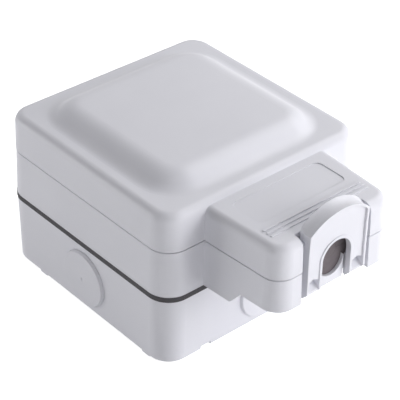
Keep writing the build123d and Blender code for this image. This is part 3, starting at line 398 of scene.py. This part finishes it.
def knockout_disc(outward):
    """Maker for the raised disc of a conduit knockout, seated on the wall that faces outward."""
    foot = box_wall(outward, KNOCKOUT_CENTRE - KNOCKOUT_RIM / 2)
    head = box_wall(outward, KNOCKOUT_CENTRE + KNOCKOUT_RIM / 2)
    upright = (head - foot).normalized()
    level = Vector((-outward.y, outward.x, 0.0))
    stand = Matrix((level, upright, level.cross(upright))).transposed()
    profile = [
        (0.0, -KNOCKOUT_SEAT),
        (KNOCKOUT_FOOT, -KNOCKOUT_SEAT),
        (KNOCKOUT_FOOT, 0.0),
        (KNOCKOUT_RIM, KNOCKOUT_RISE - KNOCKOUT_EDGE),
        (KNOCKOUT_RIM - KNOCKOUT_EDGE_MIDDLE, KNOCKOUT_RISE - KNOCKOUT_EDGE_MIDDLE),
        (KNOCKOUT_RIM - KNOCKOUT_EDGE, KNOCKOUT_RISE),
        (DIMPLE_RADIUS, KNOCKOUT_RISE),
        (DIMPLE_FLOOR, KNOCKOUT_RISE - DIMPLE_DEPTH),
        (0.0, KNOCKOUT_RISE - DIMPLE_DEPTH),
    ]

    def make(shape):
        points = [shape.verts.new((radius, 0.0, rise)) for radius, rise in profile]
        edges = [shape.edges.new(pair) for pair in zip(points, points[1:])]
        bmesh.ops.spin(
            shape, geom=[*points, *edges], cent=ORIGIN, axis=(0.0, 0.0, 1.0), angle=2 * math.pi,
            steps=KNOCKOUT_STEPS, use_merge=True,
        )
        bmesh.ops.rotate(shape, verts=shape.verts, cent=ORIGIN, matrix=stand)
        bmesh.ops.translate(shape, verts=shape.verts, vec=(foot + head) / 2)

    return make


def spring_strip(name):
    """Maker for a spring strip: the form of its solid, as one skin."""

    def make(shape):
        shape.from_mesh(nodes[name].data)

    return make


def marker_bar(shape):
    """Maker for the inlay across the rocker, near the end that rises when it is switched on."""
    low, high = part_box("rocker")
    middle_x = (low.x + high.x) / 2
    far_y = high.y - MARKER_SETBACK
    near_y = far_y - MARKER_SIZE[1]
    tops = []
    for y in (near_y, far_y):
        above = Vector((middle_x, y, high.z + MM))
        _, point, _, _ = nodes["rocker"].ray_cast(above, Vector((0.0, 0.0, -1.0)))
        tops.append(point)
    near, far = tops
    slope = math.atan2(far.z - near.z, far.y - near.y)
    made = bmesh.ops.create_cube(shape, size=1.0)
    bmesh.ops.scale(shape, vec=MARKER_SIZE, verts=made["verts"])
    bmesh.ops.bevel(
        shape, geom=shape.edges[:], offset=MARKER_EDGE, affect="EDGES", segments=2, profile=0.5, material=-1,
    )
    bmesh.ops.rotate(shape, verts=shape.verts, cent=ORIGIN, matrix=Matrix.Rotation(slope, 3, "X"))
    rise = Vector((0.0, 0.0, MARKER_PROUD - MARKER_SIZE[2] / 2))
    bmesh.ops.translate(shape, verts=shape.verts, vec=(near + far) / 2 + rise)


def seen_rays(tree):
    """One where a ray comes from the camera, a mirror-like surface or a clear one, and nought elsewhere."""
    path = tree.nodes.new("ShaderNodeLightPath")
    seen = path.outputs["Is Camera Ray"]
    for kind in ("Is Glossy Ray", "Is Transmission Ray"):
        either = tree.nodes.new("ShaderNodeMath")
        either.operation = "MAXIMUM"
        tree.links.new(seen, either.inputs[0])
        tree.links.new(path.outputs[kind], either.inputs[1])
        seen = either.outputs["Value"]
    return seen


def set_world():
    """White to look at, and a low even fill for the light that it gives."""
    world = bpy.data.worlds.new("white_studio")
    bpy.context.scene.world = world
    world.use_nodes = True
    tree = world.node_tree
    fill = tree.nodes["Background"]
    fill.inputs["Color"].default_value = (*FILL_TINT, 1.0)
    fill.inputs["Strength"].default_value = FILL_LEVEL
    white = tree.nodes.new("ShaderNodeBackground")
    white.inputs["Color"].default_value = (1.0, 1.0, 1.0, 1.0)
    white.inputs["Strength"].default_value = 1.0
    choice = tree.nodes.new("ShaderNodeMixShader")
    tree.links.new(seen_rays(tree), choice.inputs["Fac"])
    tree.links.new(fill.outputs["Background"], choice.inputs[1])
    tree.links.new(white.outputs["Background"], choice.inputs[2])
    tree.links.new(choice.outputs["Shader"], tree.nodes["World Output"].inputs["Surface"])


def pale_floor():
    """Matt floor finish, lifted towards white for what looks at it, and wholly so far from the socket."""
    material = bpy.data.materials.new("pale_floor")
    material.use_nodes = True
    tree = material.node_tree
    tree.nodes.remove(tree.nodes["Principled BSDF"])
    matt = tree.nodes.new("ShaderNodeBsdfDiffuse")
    matt.inputs["Color"].default_value = (*FLOOR_TONE, 1.0)
    distance = tree.nodes.new("ShaderNodeVectorMath")
    distance.operation = "LENGTH"
    tree.links.new(tree.nodes.new("ShaderNodeTexCoord").outputs["Object"], distance.inputs[0])
    lift = tree.nodes.new("ShaderNodeMath")
    lift.operation = "MULTIPLY"
    tree.links.new(seen_rays(tree), lift.inputs[0])
    vary(tree, distance.outputs["Value"], lift.inputs[1], low=FLOOR_LIFT, high=1.0, span=FLOOR_LIFT_SPAN)
    glow = tree.nodes.new("ShaderNodeEmission")
    tree.links.new(lift.outputs["Value"], glow.inputs["Strength"])
    both = tree.nodes.new("ShaderNodeAddShader")
    tree.links.new(matt.outputs["BSDF"], both.inputs[0])
    tree.links.new(glow.outputs["Emission"], both.inputs[1])
    tree.links.new(both.outputs["Shader"], tree.nodes["Material Output"].inputs["Surface"])
    return material


def set_floor():
    """Floor just under the feet."""
    mesh = bpy.data.meshes.new("studio_floor")
    shape = bmesh.new()
    bmesh.ops.create_grid(shape, x_segments=1, y_segments=1, size=FLOOR_SIDE / 2)
    bmesh.ops.translate(shape, verts=shape.verts, vec=(0.0, 0.0, cad_box[0][2] - FLOOR_DROP))
    shape.to_mesh(mesh)
    shape.free()
    mesh.materials.append(pale_floor())
    floor = bpy.data.objects.new("studio_floor", mesh)
    bpy.context.scene.collection.objects.link(floor)


def bearing(azimuth, elevation):
    """Direction from the socket at an azimuth and an elevation in degrees."""
    turn = math.radians(azimuth)
    lift = math.radians(elevation)
    return Vector((math.sin(turn) * math.cos(lift), -math.cos(turn) * math.cos(lift), math.sin(lift)))


def set_lamps():
    """Softboxes round the socket, each facing it."""
    for name, (azimuth, elevation, watts) in LAMPS.items():
        away = bearing(azimuth, elevation)
        light = bpy.data.lights.new(name, "AREA")
        light.size = LAMP_SIDE
        light.energy = watts
        light.color = LAMP_TINT
        lamp = bpy.data.objects.new(name, light)
        lamp.visible_glossy = name not in UNMIRRORED_LAMPS
        bpy.context.scene.collection.objects.link(lamp)
        turned = away.to_track_quat("Z", "Y").to_matrix().to_4x4()
        lamp.matrix_world = Matrix.Translation(LAMP_AIM + away * LAMP_DISTANCE) @ turned


def set_camera():
    """Camera at the photograph's place and angle."""
    azimuth = math.radians(VIEW_AZIMUTH)
    roll = math.radians(VIEW_ROLL)
    back = bearing(VIEW_AZIMUTH, VIEW_ELEVATION)
    level = Vector((math.cos(azimuth), math.sin(azimuth), 0.0))
    rise = back.cross(level)
    right = level * math.cos(roll) + rise * math.sin(roll)
    up = rise * math.cos(roll) - level * math.sin(roll)
    data = bpy.data.cameras.new("photo_camera")
    data.lens = VIEW_LENS
    data.sensor_width = VIEW_SENSOR
    data.clip_start = VIEW_NEAR
    data.clip_end = VIEW_FAR
    camera = bpy.data.objects.new("photo_camera", data)
    bpy.context.scene.collection.objects.link(camera)
    turned = Matrix((right, up, back)).transposed().to_4x4()
    camera.matrix_world = Matrix.Translation(VIEW_PLACE) @ turned
    bpy.context.scene.camera = camera


finishes, seal_finish = finish_nodes()
for side, facing in KNOCKOUT_SIDES.items():
    disc = knockout_disc(Vector(facing))
    add_piece(f"{side}_knockout", disc, finishes["housing_plastic"], "base")
for name, (body, joint, seated_end, share) in SPRINGS.items():
    strip = add_piece(f"{name}_strip", spring_strip(name), finishes["spring_steel"], body)
    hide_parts(name)
    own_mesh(strip)
add_piece("upper_seal_lips", seal_lips(True), seal_finish, "lid")
add_piece("lower_seal_lips", seal_lips(False), seal_finish, "base")
add_piece("rocker_marker", marker_bar, red_marker_paint(), "rocker")
set_world()
set_floor()
set_lamps()
set_camera()
bpy.context.scene.view_settings.view_transform = "Standard"
